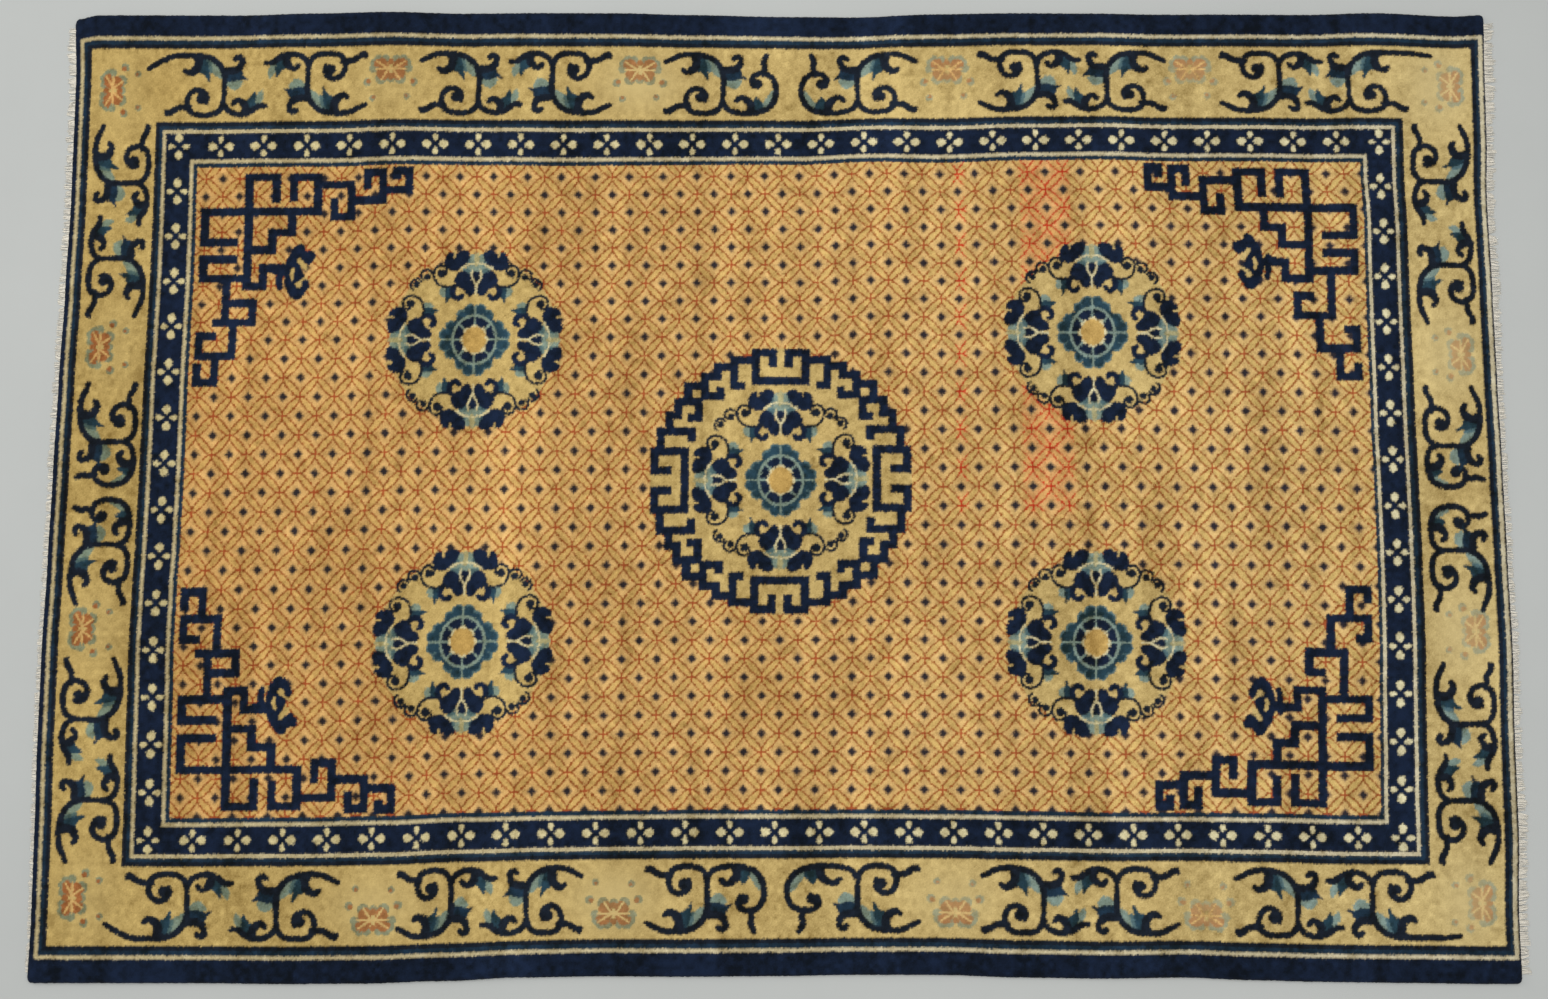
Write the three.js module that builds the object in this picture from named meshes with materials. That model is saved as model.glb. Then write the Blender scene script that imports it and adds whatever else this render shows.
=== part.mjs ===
// A hand-knotted wool rug with a short cotton fringe at each end, lying flat on the floor.
// Millimetres, +Z up, the rug's length along X, the floor at Z = 0.
import * as THREE from "three";

const { lerp, smoothstep, clamp } = THREE.MathUtils;

// Driving sizes of the pile
const HALF_LENGTH = 1367;
const HALF_WIDTH = 918;
const THICKNESS = 11;
const EDGE_HEIGHT = 6;
const EDGE_ROUND = 9;
const CORNER_ROUND = 9;

// Sections the solid is built on, in from each edge and then evenly over the middle
const EDGE_STATIONS = [0, 2.5, EDGE_ROUND];
const CELLS_ALONG = 42;
const CELLS_ACROSS = 28;

// Driving sizes of the fringe
const FRINGE_GAP = 0.3;
const STRIP_WIDTH = 4;
const FRINGE_THICKNESS = 3;
const LOCKS_PER_END = 120;
const ROOT_SHARE = 0.74;
const TIP_SHARE = 0.46;
const LENGTH_SPREAD = 0.45;
const TIP_SLANT = 0.1;
const LEAN = 3.2;
const OWN_LEAN_SHARE = 0.3;

// Slow waves in which the locks lean along an end
const SWAYS = [
  { share: 0.6, length: 170, start: 0 },
  { share: 0.4, length: 59, start: 1 },
];

// Constants of the steady scatter of the locks
const SCATTER = { lock: 12.9898, trait: 78.233, scale: 43758.5453 };
const TRAIT = { lean: 1, length: 2, slant: 3 };

// How far the two long sides stray from straight, a row for each section along the rug
const SIDE_ROWS = [
  { at: -1367, near: -2.0, far: -9.0 },
  { at: -1320, near: -2.0, far: -0.5 },
  { at: -1050, near: -1.6, far: -1.0 },
  { at: -900, near: -2.7, far: 3.4 },
  { at: -755, near: -1.6, far: 6.7 },
  { at: -610, near: 3.0, far: 3.0 },
  { at: -460, near: 10.0, far: 4.3 },
  { at: -310, near: 12.5, far: 4.0 },
  { at: -165, near: 12.0, far: 0.4 },
  { at: 0, near: 13.5, far: -3.3 },
  { at: 150, near: 16.0, far: -4.2 },
  { at: 300, near: 16.5, far: 2.0 },
  { at: 450, near: 12.0, far: 4.6 },
  { at: 600, near: 10.3, far: 4.0 },
  { at: 750, near: 12.5, far: 1.7 },
  { at: 880, near: 8.0, far: 2.0 },
  { at: 1010, near: 5.3, far: 1.3 },
  { at: 1160, near: 3.8, far: 5.0 },
  { at: 1310, near: 2.2, far: -1.6 },
  { at: 1367, near: 2.5, far: 1.5 },
];

// How far the two ends stray and how long the fringe is there, a row for each section across the rug
const END_ROWS = [
  { at: -918, left: -6.0, right: -1.0, leftFringe: 7, rightFringe: 18 },
  { at: -806, left: -4.3, right: -2.0, leftFringe: 8, rightFringe: 20 },
  { at: -640, left: -5.3, right: 4.0, leftFringe: 10, rightFringe: 19 },
  { at: -480, left: -7.5, right: 4.0, leftFringe: 10, rightFringe: 16 },
  { at: -310, left: -7.0, right: 7.0, leftFringe: 11, rightFringe: 14 },
  { at: -145, left: -3.6, right: 4.4, leftFringe: 12, rightFringe: 13 },
  { at: 30, left: -1.0, right: 2.0, leftFringe: 13, rightFringe: 13 },
  { at: 200, left: 2.0, right: -1.0, leftFringe: 13, rightFringe: 15 },
  { at: 370, left: 6.5, right: -2.8, leftFringe: 14, rightFringe: 17 },
  { at: 550, left: 10.0, right: -6.0, leftFringe: 15, rightFringe: 18 },
  { at: 670, left: 10.0, right: -1.5, leftFringe: 16, rightFringe: 19 },
  { at: 790, left: 9.5, right: -0.4, leftFringe: 17, rightFringe: 21 },
  { at: 918, left: 4.0, right: 2.0, leftFringe: 17, rightFringe: 21 },
];

// Soft ripples that run across the rug: where they cross its middle line, how far they drift
// by each side, their half width and their height at the near and at the far side
const RIPPLES = [
  { at: -1035, drift: 30, halfWidth: 90, near: 0.5, far: 2.5 },
  { at: -505, drift: -15, halfWidth: 80, near: 4.0, far: 1.0 },
  { at: -40, drift: 20, halfWidth: 110, near: 1.0, far: 3.0 },
  { at: 200, drift: 10, halfWidth: 75, near: 2.0, far: 3.5 },
  { at: 640, drift: -25, halfWidth: 120, near: 2.5, far: 1.5 },
  { at: 1090, drift: 20, halfWidth: 90, near: 1.0, far: 2.5 },
];

const WOOL = new THREE.MeshStandardMaterial({ color: 0xc59a58, roughness: 0.95, metalness: 0 });
const COTTON = new THREE.MeshStandardMaterial({ color: 0xd9d2bd, roughness: 0.95, metalness: 0 });

// A column of a table at any place, eased from row to row
function readTable(rows, column, at) {
  let next = 1;
  while (next < rows.length - 1 && at > rows[next].at) {
    next += 1;
  }
  const before = rows[next - 1];
  const after = rows[next];
  return lerp(before[column], after[column], smoothstep(at, before.at, after.at));
}

// Half the rug's width at a section, less where the corners are rounded
function halfWidthAt(along) {
  const fromEnd = HALF_LENGTH - Math.abs(along);
  const missing = Math.max(CORNER_ROUND - fromEnd, 0);
  return HALF_WIDTH - CORNER_ROUND + Math.sqrt(CORNER_ROUND ** 2 - missing ** 2);
}

// Where a point of the straight design lies on the floor, with the sides' and ends' unevenness
function layOut(along, across) {
  const held = across * (halfWidthAt(along) / HALF_WIDTH);
  const toRight = (along + HALF_LENGTH) / (2 * HALF_LENGTH);
  const toFar = (held + HALF_WIDTH) / (2 * HALF_WIDTH);
  const end = lerp(readTable(END_ROWS, "left", held), readTable(END_ROWS, "right", held), toRight);
  const side = lerp(readTable(SIDE_ROWS, "near", along), readTable(SIDE_ROWS, "far", along), toFar);
  return new THREE.Vector2(along + end, held + side);
}

// Height that the ripples add at a point
function rippleHeight(along, across) {
  const share = across / HALF_WIDTH;
  let height = 0;
  for (const row of RIPPLES) {
    const away = Math.abs(along - row.at - row.drift * share) / row.halfWidth;
    const crest = lerp(row.near, row.far, (share + 1) / 2);
    height += crest * (1 - smoothstep(away, 0, 1));
  }
  return height;
}

// Height of the pile, which rounds down to its edges
function pileHeight(along, across) {
  const fromEdge = Math.min(HALF_LENGTH - Math.abs(along), HALF_WIDTH - Math.abs(across));
  const inward = clamp(fromEdge / EDGE_ROUND, 0, 1);
  const rise = Math.sqrt(1 - (1 - inward) ** 2);
  return lerp(EDGE_HEIGHT, THICKNESS, rise) + rippleHeight(along, across) * inward;
}

// Places of the sections over one direction, close together by the edges
function stations(half, cells) {
  const inner = half - EDGE_STATIONS[EDGE_STATIONS.length - 1];
  const rising = EDGE_STATIONS.map((inset) => -half + inset);
  const falling = EDGE_STATIONS.map((inset) => half - inset).reverse();
  const middle = [];
  for (let cell = 1; cell < cells; cell += 1) {
    middle.push(lerp(-inner, inner, cell / cells));
  }
  return [...rising, ...middle, ...falling];
}

const ALONG = stations(HALF_LENGTH, CELLS_ALONG);
const ACROSS = stations(HALF_WIDTH, CELLS_ACROSS);

// The grid's border points in order, counter-clockwise seen from above
function borderOf(columns, rows) {
  const border = [];
  for (let column = 0; column < columns - 1; column += 1) {
    border.push([column, 0]);
  }
  for (let row = 0; row < rows - 1; row += 1) {
    border.push([columns - 1, row]);
  }
  for (let column = columns - 1; column > 0; column -= 1) {
    border.push([column, rows - 1]);
  }
  for (let row = rows - 1; row > 0; row -= 1) {
    border.push([0, row]);
  }
  return border;
}

// The rug: a pile surface on a grid, upright edges and a flat underside
function rugGeometry() {
  const points = [];
  const faces = [];
  const rows = ACROSS.length;
  for (const along of ALONG) {
    for (const across of ACROSS) {
      const place = layOut(along, across);
      points.push(place.x, place.y, pileHeight(along, across));
    }
  }
  for (let column = 0; column < ALONG.length - 1; column += 1) {
    for (let row = 0; row < rows - 1; row += 1) {
      const here = column * rows + row;
      const beside = here + rows;
      faces.push(here, beside, beside + 1, here, beside + 1, here + 1);
    }
  }

  const border = borderOf(ALONG.length, rows);
  const outline = border.map(([column, row]) => layOut(ALONG[column], ACROSS[row]));
  const firstUnder = points.length / 3;
  outline.forEach((place) => points.push(place.x, place.y, 0));
  border.forEach(([column, row], index) => {
    const following = (index + 1) % border.length;
    const [nextColumn, nextRow] = border[following];
    const top = column * rows + row;
    const nextTop = nextColumn * rows + nextRow;
    const under = firstUnder + index;
    const nextUnder = firstUnder + following;
    faces.push(under, nextUnder, nextTop, under, nextTop, top);
  });
  for (const [a, b, c] of THREE.ShapeUtils.triangulateShape(outline, [])) {
    faces.push(firstUnder + a, firstUnder + c, firstUnder + b);
  }

  const geometry = new THREE.BufferGeometry();
  geometry.setAttribute("position", new THREE.Float32BufferAttribute(points, 3));
  geometry.setIndex(faces);
  geometry.computeVertexNormals();
  return geometry;
}

// A steady number from 0 to 1 that looks random, for the lock and the trait given
function spread(lock, trait) {
  const wave = Math.sin(lock * SCATTER.lock + trait * SCATTER.trait) * SCATTER.scale;
  return wave - Math.floor(wave);
}

// How far a lock's tip leans along the end: a slow sway with a little of its own
function leanAt(across, lock) {
  let sway = OWN_LEAN_SHARE * (spread(lock, TRAIT.lean) - 0.5);
  for (const wave of SWAYS) {
    sway += wave.share * Math.sin(across / wave.length + wave.start);
  }
  return LEAN * sway;
}

// Length of a lock from the end of the pile
function lengthAt(across, lock, column) {
  return readTable(END_ROWS, column, across) * (1 + LENGTH_SPREAD * (spread(lock, TRAIT.length) - 0.5));
}

// One fringe: a narrow strip along an end and its locks, flat on the floor.
// The sign is -1 at the left end and +1 at the right end.
function fringeGeometry(sign, lengthColumn) {
  const end = sign * HALF_LENGTH;
  const half = halfWidthAt(end);
  const edge = (across) => layOut(end, across * (HALF_WIDTH / half));
  const outward = (across, distance) => {
    const place = edge(across);
    return new THREE.Vector2(place.x + sign * distance, place.y);
  };

  const comb = new THREE.Shape();
  const inner = ACROSS.map((across) => layOut(end, across));
  comb.moveTo(inner[0].x + sign * FRINGE_GAP, inner[0].y);
  inner.slice(1).forEach((place) => comb.lineTo(place.x + sign * FRINGE_GAP, place.y));

  const root = FRINGE_GAP + STRIP_WIDTH;
  const pitch = (2 * half) / LOCKS_PER_END;
  const halfRoot = (ROOT_SHARE * pitch) / 2;
  const halfTip = (TIP_SHARE * pitch) / 2;
  const first = outward(half, root);
  comb.lineTo(first.x, first.y);
  for (let lock = LOCKS_PER_END - 1; lock >= 0; lock -= 1) {
    const place = -half + (lock + 0.5) * pitch;
    const tip = place + leanAt(place, lock);
    const length = lengthAt(place, lock, lengthColumn);
    const shorter = length * (1 - TIP_SLANT * spread(lock, TRAIT.slant));
    const corners = [
      outward(place + halfRoot, root),
      outward(tip + halfTip, length),
      outward(tip - halfTip, shorter),
      outward(place - halfRoot, root),
    ];
    corners.forEach((corner) => comb.lineTo(corner.x, corner.y));
  }
  const last = outward(-half, root);
  comb.lineTo(last.x, last.y);
  comb.closePath();
  return new THREE.ExtrudeGeometry(comb, { depth: FRINGE_THICKNESS, bevelEnabled: false });
}

// A named sub-part
function piece(name, geometry, material) {
  const mesh = new THREE.Mesh(geometry, material);
  mesh.name = name;
  return mesh;
}

const rug = new THREE.Group();
rug.add(piece("rug", rugGeometry(), WOOL));
rug.add(piece("fringe_left", fringeGeometry(-1, "leftFringe"), COTTON));
rug.add(piece("fringe_right", fringeGeometry(1, "rightFringe"), COTTON));

// The origin is on the floor, under the middle of the whole rug
const centre = new THREE.Box3().setFromObject(rug).getCenter(new THREE.Vector3());
rug.position.set(-centre.x, -centre.y, 0);

export default rug;
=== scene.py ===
import bpy
import numpy as np
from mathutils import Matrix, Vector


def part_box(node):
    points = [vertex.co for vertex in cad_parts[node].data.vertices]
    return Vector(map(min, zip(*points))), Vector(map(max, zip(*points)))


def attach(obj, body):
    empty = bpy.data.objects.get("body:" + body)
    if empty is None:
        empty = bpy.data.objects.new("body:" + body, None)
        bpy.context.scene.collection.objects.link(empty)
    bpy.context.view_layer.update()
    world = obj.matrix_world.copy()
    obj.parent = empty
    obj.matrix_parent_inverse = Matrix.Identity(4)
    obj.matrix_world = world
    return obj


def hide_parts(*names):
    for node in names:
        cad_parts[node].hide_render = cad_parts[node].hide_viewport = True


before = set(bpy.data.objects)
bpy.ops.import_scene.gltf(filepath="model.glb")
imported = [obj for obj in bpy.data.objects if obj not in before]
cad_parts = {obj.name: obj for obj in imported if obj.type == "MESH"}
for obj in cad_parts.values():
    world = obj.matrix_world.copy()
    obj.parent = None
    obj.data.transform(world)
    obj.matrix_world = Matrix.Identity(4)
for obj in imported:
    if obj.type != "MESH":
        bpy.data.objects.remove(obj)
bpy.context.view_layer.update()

MM = 0.001
scatter = np.random.default_rng(1907)

# Sizes of the pile and of the field inside its borders
HALF_LENGTH = 1367
HALF_WIDTH = 918
FIELD_HALF_LENGTH = 1118
FIELD_HALF_WIDTH = 618
THICKNESS = 11
EDGE_HEIGHT = 6
EDGE_ROUND = 9
CORNER_ROUND = 9
FOOT_HEIGHT = 0.3

# How far the long sides stray from straight: place along the rug, near side, far side
SIDE_ROWS = [
    (-1367, -2, -9), (-1320, -2, -0.5), (-1050, -1.6, -1), (-900, -2.7, 3.4), (-755, -1.6, 6.7),
    (-610, 3, 3), (-460, 10, 4.3), (-310, 12.5, 4), (-165, 12, 0.4), (0, 13.5, -3.3),
    (150, 16, -4.2), (300, 16.5, 2), (450, 12, 4.6), (600, 10.3, 4), (750, 12.5, 1.7),
    (880, 8, 2), (1010, 5.3, 1.3), (1160, 3.8, 5), (1310, 2.2, -1.6), (1367, 2.5, 1.5),
]

# The same for the field's long edges
FIELD_SIDE_ROWS = [
    (-1100, -3, -6), (-870, -1, -4), (-720, 2, 1), (-570, 8, -1), (-420, 11, -2),
    (-270, 13, -1), (-130, 15, 0), (30, 15, 0), (170, 16, 6), (320, 15, 5), (470, 13, 10),
    (620, 11, 11), (770, 11, 8), (910, 10, 8), (1050, 7, 6),
]

# How far the ends stray and the fringe's length: place across, left, right, left and right fringe
END_ROWS = [
    (-918, -6, -1, 7, 18), (-806, -4.3, -2, 8, 20), (-640, -5.3, 4, 10, 19),
    (-480, -7.5, 4, 10, 16), (-310, -7, 7, 11, 14), (-145, -3.6, 4.4, 12, 13),
    (30, -1, 2, 13, 13), (200, 2, -1, 13, 15), (370, 6.5, -2.8, 14, 17), (550, 10, -6, 15, 18),
    (670, 10, -1.5, 16, 19), (790, 9.5, -0.4, 17, 21), (918, 4, 2, 17, 21),
]

# The same for the field's short edges: place across, left, right
FIELD_END_ROWS = [
    (-600, -3, -2), (-500, -4, 1), (-400, -5, 3), (-300, -7, 6), (-200, -5, 7), (-100, -2, 7),
    (0, 0, 6), (100, 1, 4), (200, 1, 4), (300, 3, 3), (400, 5, 3), (500, 5, 4), (600, 4, 0),
]

# Columns of these tables: near or left, far or right, and the two fringes
LOW_EDGE, HIGH_EDGE, LEFT_FRINGE, RIGHT_FRINGE = 1, 2, 3, 4

# Soft ripples across the rug: place on the middle line, drift by each side, half width,
# height at the near side and at the far side
RIPPLES = [
    (-1035, 30, 90, 0.5, 2.5),
    (-505, -15, 80, 4, 1),
    (-40, 20, 110, 1, 3),
    (200, 10, 75, 2, 3.5),
    (640, -25, 120, 2.5, 1.5),
    (1090, 20, 90, 1, 2.5),
]


# Shape of the rug as it lies

def read_table(rows, column, at):
    """A column of a table at any places, eased from row to row."""
    table = np.array(rows, float)
    places = table[:, 0]
    values = table[:, column]
    before = np.clip(np.searchsorted(places, at, side="right") - 1, 0, len(places) - 2)
    share = np.clip((at - places[before]) / (places[before + 1] - places[before]), 0, 1)
    return values[before] + np.diff(values)[before] * share * share * (3 - 2 * share)


def from_lines(place, lines, values):
    """The value at a place, from the values on the lines to both sides of it."""
    result = values[0]
    for step in range(len(lines) - 1):
        share = np.clip((place - lines[step]) / (lines[step + 1] - lines[step]), 0, 1)
        result = result + (values[step + 1] - values[step]) * share
    return result


def half_width_at(along):
    """Half the rug's width at a section, less where the corners are rounded."""
    missing = np.maximum(CORNER_ROUND - (HALF_LENGTH - np.abs(along)), 0)
    return HALF_WIDTH - CORNER_ROUND + np.sqrt(np.maximum(CORNER_ROUND ** 2 - missing ** 2, 0))


def stray(place, half, field_half, at, rows, field_rows):
    """How far points stray, from the tables for the rug's two edges and for the field's."""
    lines = (-half, -field_half, field_half, half)
    tables = ((rows, LOW_EDGE), (field_rows, LOW_EDGE), (field_rows, HIGH_EDGE), (rows, HIGH_EDGE))
    return from_lines(place, lines, [read_table(table, column, at) for table, column in tables])


def lay_out(along, across):
    """Where points of the straight design lie on the floor."""
    held = across * half_width_at(along) / HALF_WIDTH
    x = along + stray(along, HALF_LENGTH, FIELD_HALF_LENGTH, held, END_ROWS, FIELD_END_ROWS)
    y = held + stray(held, HALF_WIDTH, FIELD_HALF_WIDTH, along, SIDE_ROWS, FIELD_SIDE_ROWS)
    return x, y


def straightened(along, across):
    """The place in the straight design of a spot on the rug as it lies."""
    bent = lay_out(np.float64(along), np.float64(across))
    return np.array([2 * along - bent[0], 2 * across - bent[1]])


def ripple_height(along, across):
    """Height that the ripples add."""
    share = across / HALF_WIDTH
    height = 0
    for at, drift, half_width, near, far in RIPPLES:
        away = np.clip(np.abs(along - at - drift * share) / half_width, 0, 1)
        crest = near + (far - near) * (share + 1) / 2
        height = height + crest * (1 - away * away * (3 - 2 * away))
    return height


def pile_height(along, across):
    """Height of the pile, which rounds down to its edges."""
    from_edge = np.minimum(HALF_LENGTH - np.abs(along), HALF_WIDTH - np.abs(across))
    inward = np.clip(from_edge / EDGE_ROUND, 0, 1)
    rise = np.sqrt(1 - (1 - inward) ** 2)
    return EDGE_HEIGHT + (THICKNESS - EDGE_HEIGHT) * rise + ripple_height(along, across) * inward


# The loom: places in the design and the number of knots up to them
COLUMN_ZONES = [
    (-HALF_LENGTH, 0),
    (-FIELD_HALF_LENGTH, 76),
    (5, 421),
    (FIELD_HALF_LENGTH, 751),
    (HALF_LENGTH, 826),
]
ROW_ZONES = [
    (-HALF_WIDTH, 0),
    (-FIELD_HALF_WIDTH, 86),
    (-234, 196),
    (278, 336),
    (FIELD_HALF_WIDTH, 433),
    (HALF_WIDTH, 519),
]

# The chart has two cells to a knot each way, one for each corner of its tuft
CELLS_PER_KNOT = 2


def loom_lines(zones, parts):
    """Places of the lines between knots, or between the parts of knots."""
    places, counts = zip(*zones)
    return np.interp(np.arange(counts[-1] * parts + 1) / parts, counts, places)


def cell_middles(zones):
    """Places of the middles of the chart's cells."""
    lines = loom_lines(zones, CELLS_PER_KNOT)
    return (lines[1:] + lines[:-1]) / 2


COLUMN_LINES = loom_lines(COLUMN_ZONES, 1)
ROW_LINES = loom_lines(ROW_ZONES, 1)
CELL_X = cell_middles(COLUMN_ZONES)
CELL_Y = cell_middles(ROW_ZONES)

# Yarns and their colours as they show in white light, red, green and blue to 255
NAVY, INK, DEEP, BLUE, SKY, PALE, CREAM, LINE, GOLD, SAND = range(10)
TAN, PEACH, BROWN, RUST, RED, ORANGE, GREY, SPOT, SPOT_RIM, STRAW, AMBER = range(10, 21)
DYES = {
    NAVY: (22, 32, 50),
    INK: (26, 32, 41),
    DEEP: (30, 48, 63),
    BLUE: (38, 61, 71),
    SKY: (84, 108, 108),
    PALE: (130, 146, 130),
    CREAM: (214, 200, 152),
    LINE: (202, 187, 147),
    GOLD: (203, 175, 110),
    SAND: (201, 172, 107),
    TAN: (215, 176, 104),
    PEACH: (221, 178, 111),
    BROWN: (154, 80, 34),
    RUST: (172, 86, 46),
    RED: (196, 60, 32),
    ORANGE: (166, 104, 61),
    GREY: (138, 144, 117),
    SPOT: (50, 44, 46),
    SPOT_RIM: (160, 126, 86),
    STRAW: (176, 166, 118),
    AMBER: (196, 158, 88),
}
chart = np.full((len(CELL_X), len(CELL_Y)), NAVY, np.int8)


# Shapes that are worked into the chart, each from places, a size and a yarn. Curves run in steps from
# point to point, and thin to a share of their width over a share of their length.
CURVE_STEPS = 6
TIP_WIDTH = 0.85
TIP_LENGTH = 0.15


def cells(points, margin):
    """The part of the chart round some points, with the places of its cells."""
    low = points.min(axis=0) - margin
    high = points.max(axis=0) + margin
    columns = slice(*np.searchsorted(CELL_X, (low[0], high[0])))
    rows = slice(*np.searchsorted(CELL_Y, (low[1], high[1])))
    x, y = np.meshgrid(CELL_X[columns], CELL_Y[rows], indexing="ij")
    return chart[columns, rows], x, y


def smoothed(points, closed):
    """A smooth line through points."""
    if closed:
        guide = np.vstack([points[-1:], points, points[:2]])
    else:
        guide = np.vstack([2 * points[:1] - points[1:2], points, 2 * points[-1:] - points[-2:-1]])
    share = np.linspace(0, 1, CURVE_STEPS, endpoint=False)[:, None]
    spans = []
    for before, start, end, after in zip(guide, guide[1:], guide[2:], guide[3:]):
        bend = (2 * before - 5 * start + 4 * end - after) * share ** 2
        bend = bend + (3 * start - before - 3 * end + after) * share ** 3
        spans.append(start + 0.5 * ((end - before) * share + bend))
    if not closed:
        spans.append(points[-1:])
    return np.vstack(spans)


def curve(points, width, yarn):
    """A smooth line that thins towards its ends."""
    path = smoothed(points, closed=False)
    part, x, y = cells(path, width)
    reach = np.full(x.shape, np.inf)
    last = len(path) - 1
    for step in range(last):
        start = path[step]
        run = path[step + 1] - start
        share = np.clip(((x - start[0]) * run[0] + (y - start[1]) * run[1]) / run.dot(run), 0, 1)
        away = np.hypot(x - start[0] - share * run[0], y - start[1] - share * run[1])
        from_tip = np.minimum(step + share, last - step - share) / last
        swell = TIP_WIDTH + (1 - TIP_WIDTH) * np.clip(from_tip / TIP_LENGTH, 0, 1)
        reach = np.minimum(reach, away - swell * width / 2)
    part[reach <= 0] = yarn


def patch(points, _, yarn):
    """A filled outline with soft corners, which needs no size."""
    ring = smoothed(points, closed=True)
    part, x, y = cells(ring, 1)
    inside = np.zeros(x.shape, bool)
    for (start_x, start_y), (end_x, end_y) in zip(ring, np.roll(ring, -1, axis=0)):
        if start_y != end_y:
            crosses = (start_y > y) != (end_y > y)
            inside ^= crosses & (x < start_x + (y - start_y) * (end_x - start_x) / (end_y - start_y))
    part[inside] = yarn


def bars(points, width, yarn):
    """Square bars from point to point."""
    for start, end in zip(points, points[1:]):
        corners = np.array([np.minimum(start, end), np.maximum(start, end)])
        part, _, _ = cells(corners, width / 2)
        part[:] = yarn


def dots(points, radius, yarn):
    """Round spots."""
    for point in points:
        part, x, y = cells(point[None], radius)
        part[np.hypot(x - point[0], y - point[1]) <= radius] = yarn


# A motif is a list of shapes in its own directions, along and outward. A seat says where it goes:
# its origin and its two directions in the design.

def seat(origin, along, outward):
    return np.array([origin, along, outward], float)


def mirrored(place):
    """The same seat with along the other way."""
    return seat(place[0], -place[1], place[2])


def turned(place):
    """The same seat turned half round."""
    return seat(place[0], -place[1], -place[2])


def work(motif, place):
    """Works a motif into the chart."""
    for shape, yarn, size, points in motif:
        shape(place[0] + np.array(points, float) @ place[1:], size, yarn)


def work_pairs(motif, places):
    """Works a motif and its mirror image in each of some seats."""
    for place in places:
        work(motif, place)
        work(motif, mirrored(place))


# The bands round the field from the outer edge inwards: yarn, width on the long sides, at the
# left end and at the right end
BANDS = [
    (NAVY, 43.9, 11.5, 5.5),
    (LINE, 6.2, 6, 7.5),
    (DEEP, 8.4, 7.5, 7.5),
    (INK, 9, 8.3, 7.5),
    (GOLD, 143, 131, 135.5),
    (INK, 9, 7, 8),
    (DEEP, 7.9, 7.4, 7.5),
    (LINE, 6, 6.6, 6.2),
    (NAVY, 51.6, 49.7, 50.3),
    (LINE, 7, 6.4, 7.5),
    (DEEP, 7.5, 6.9, 5.5),
]


def work_bands():
    """The bands, each a smaller rectangle on the last, and the field's ground inside them."""
    side = left = right = 0
    for yarn, side_width, left_width, right_width in BANDS + [(TAN, 0, 0, 0)]:
        low = (-HALF_LENGTH + left, -HALF_WIDTH + side)
        high = (HALF_LENGTH - right, HALF_WIDTH - side)
        part, _, _ = cells(np.array([low, high]), 0)
        part[:] = yarn
        side += side_width
        left += left_width
        right += right_width


# The field's small repeat, in knots: a crossing's place on the loom, half the repeat, the size of the
# square round a spot, how far its corners are drawn out, the width of its line, half the width of the
# short lines between corners, and the sizes of the spot and of its rim
LATTICE_COLUMN = 421.5
LATTICE_ROW = 86.5
LATTICE_STEP = 10
LATTICE_SQUARE = 7.2
LATTICE_REACH = 1.2
LATTICE_LINE = 1.5
LATTICE_JOIN = 0.5
SPOT_SIZE = 2.3
SPOT_RIM_SIZE = 3.1


def work_lattice():
    """Dark spots in a net of thin lines that meet in rust crosses."""
    column = (np.arange(len(CELL_X)) + 0.5)[:, None] / CELLS_PER_KNOT - LATTICE_COLUMN
    row = (np.arange(len(CELL_Y)) + 0.5)[None, :] / CELLS_PER_KNOT - LATTICE_ROW
    field = (chart == TAN)

    def from_spot(knots):
        return np.abs(knots % (2 * LATTICE_STEP) - LATTICE_STEP)

    rising = from_spot(column - row)
    falling = from_spot(column + row)
    ring = np.maximum(rising, falling)
    from_axis = np.abs(rising - falling) / 2
    line = LATTICE_SQUARE + LATTICE_REACH * np.exp(-from_axis)
    on_line = np.abs(ring - line) <= LATTICE_LINE / 2
    on_join = (from_axis <= LATTICE_JOIN) & (ring >= line)
    chart[field & (ring < line)] = PEACH
    chart[field & on_line] = BROWN
    chart[field & on_join] = RUST
    chart[field & (ring <= SPOT_RIM_SIZE)] = SPOT_RIM
    chart[field & (ring <= SPOT_SIZE)] = SPOT


# Streaks where the field was dyed redder: from and to along the rug, the lower end, and how strongly
# the ground took the dye
RED_STREAKS = [(338, 358, -60, 0.3), (462, 558, -60, 1)]


def work_streaks():
    """Turns the lattice's lines red in the streaks."""
    for start, end, low, _ in RED_STREAKS:
        part, _, _ = cells(np.array([(start, low), (end, FIELD_HALF_WIDTH)]), 0)
        part[(part == BROWN) | (part == RUST)] = RED


# The four-petalled flower of the navy band, then the band's middle lines and the number of steps from
# flower to flower
BAND_FLOWER = [
    (patch, CREAM, 0, np.multiply(side, petal)) for side in (1, -1) for petal in (
        [(7, 0), (13, -6.5), (20, -7), (25, 0), (20, 7), (13, 6.5)],
        [(0, 6), (-4.5, 12), (-4.5, 18), (0, 21), (4.5, 18), (4.5, 12)],
    )
]
BAND_MIDDLE_ALONG = 1156.5
BAND_MIDDLE_ACROSS = 659
BAND_STEPS_ALONG = 28
BAND_STEPS_ACROSS = 15


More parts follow.
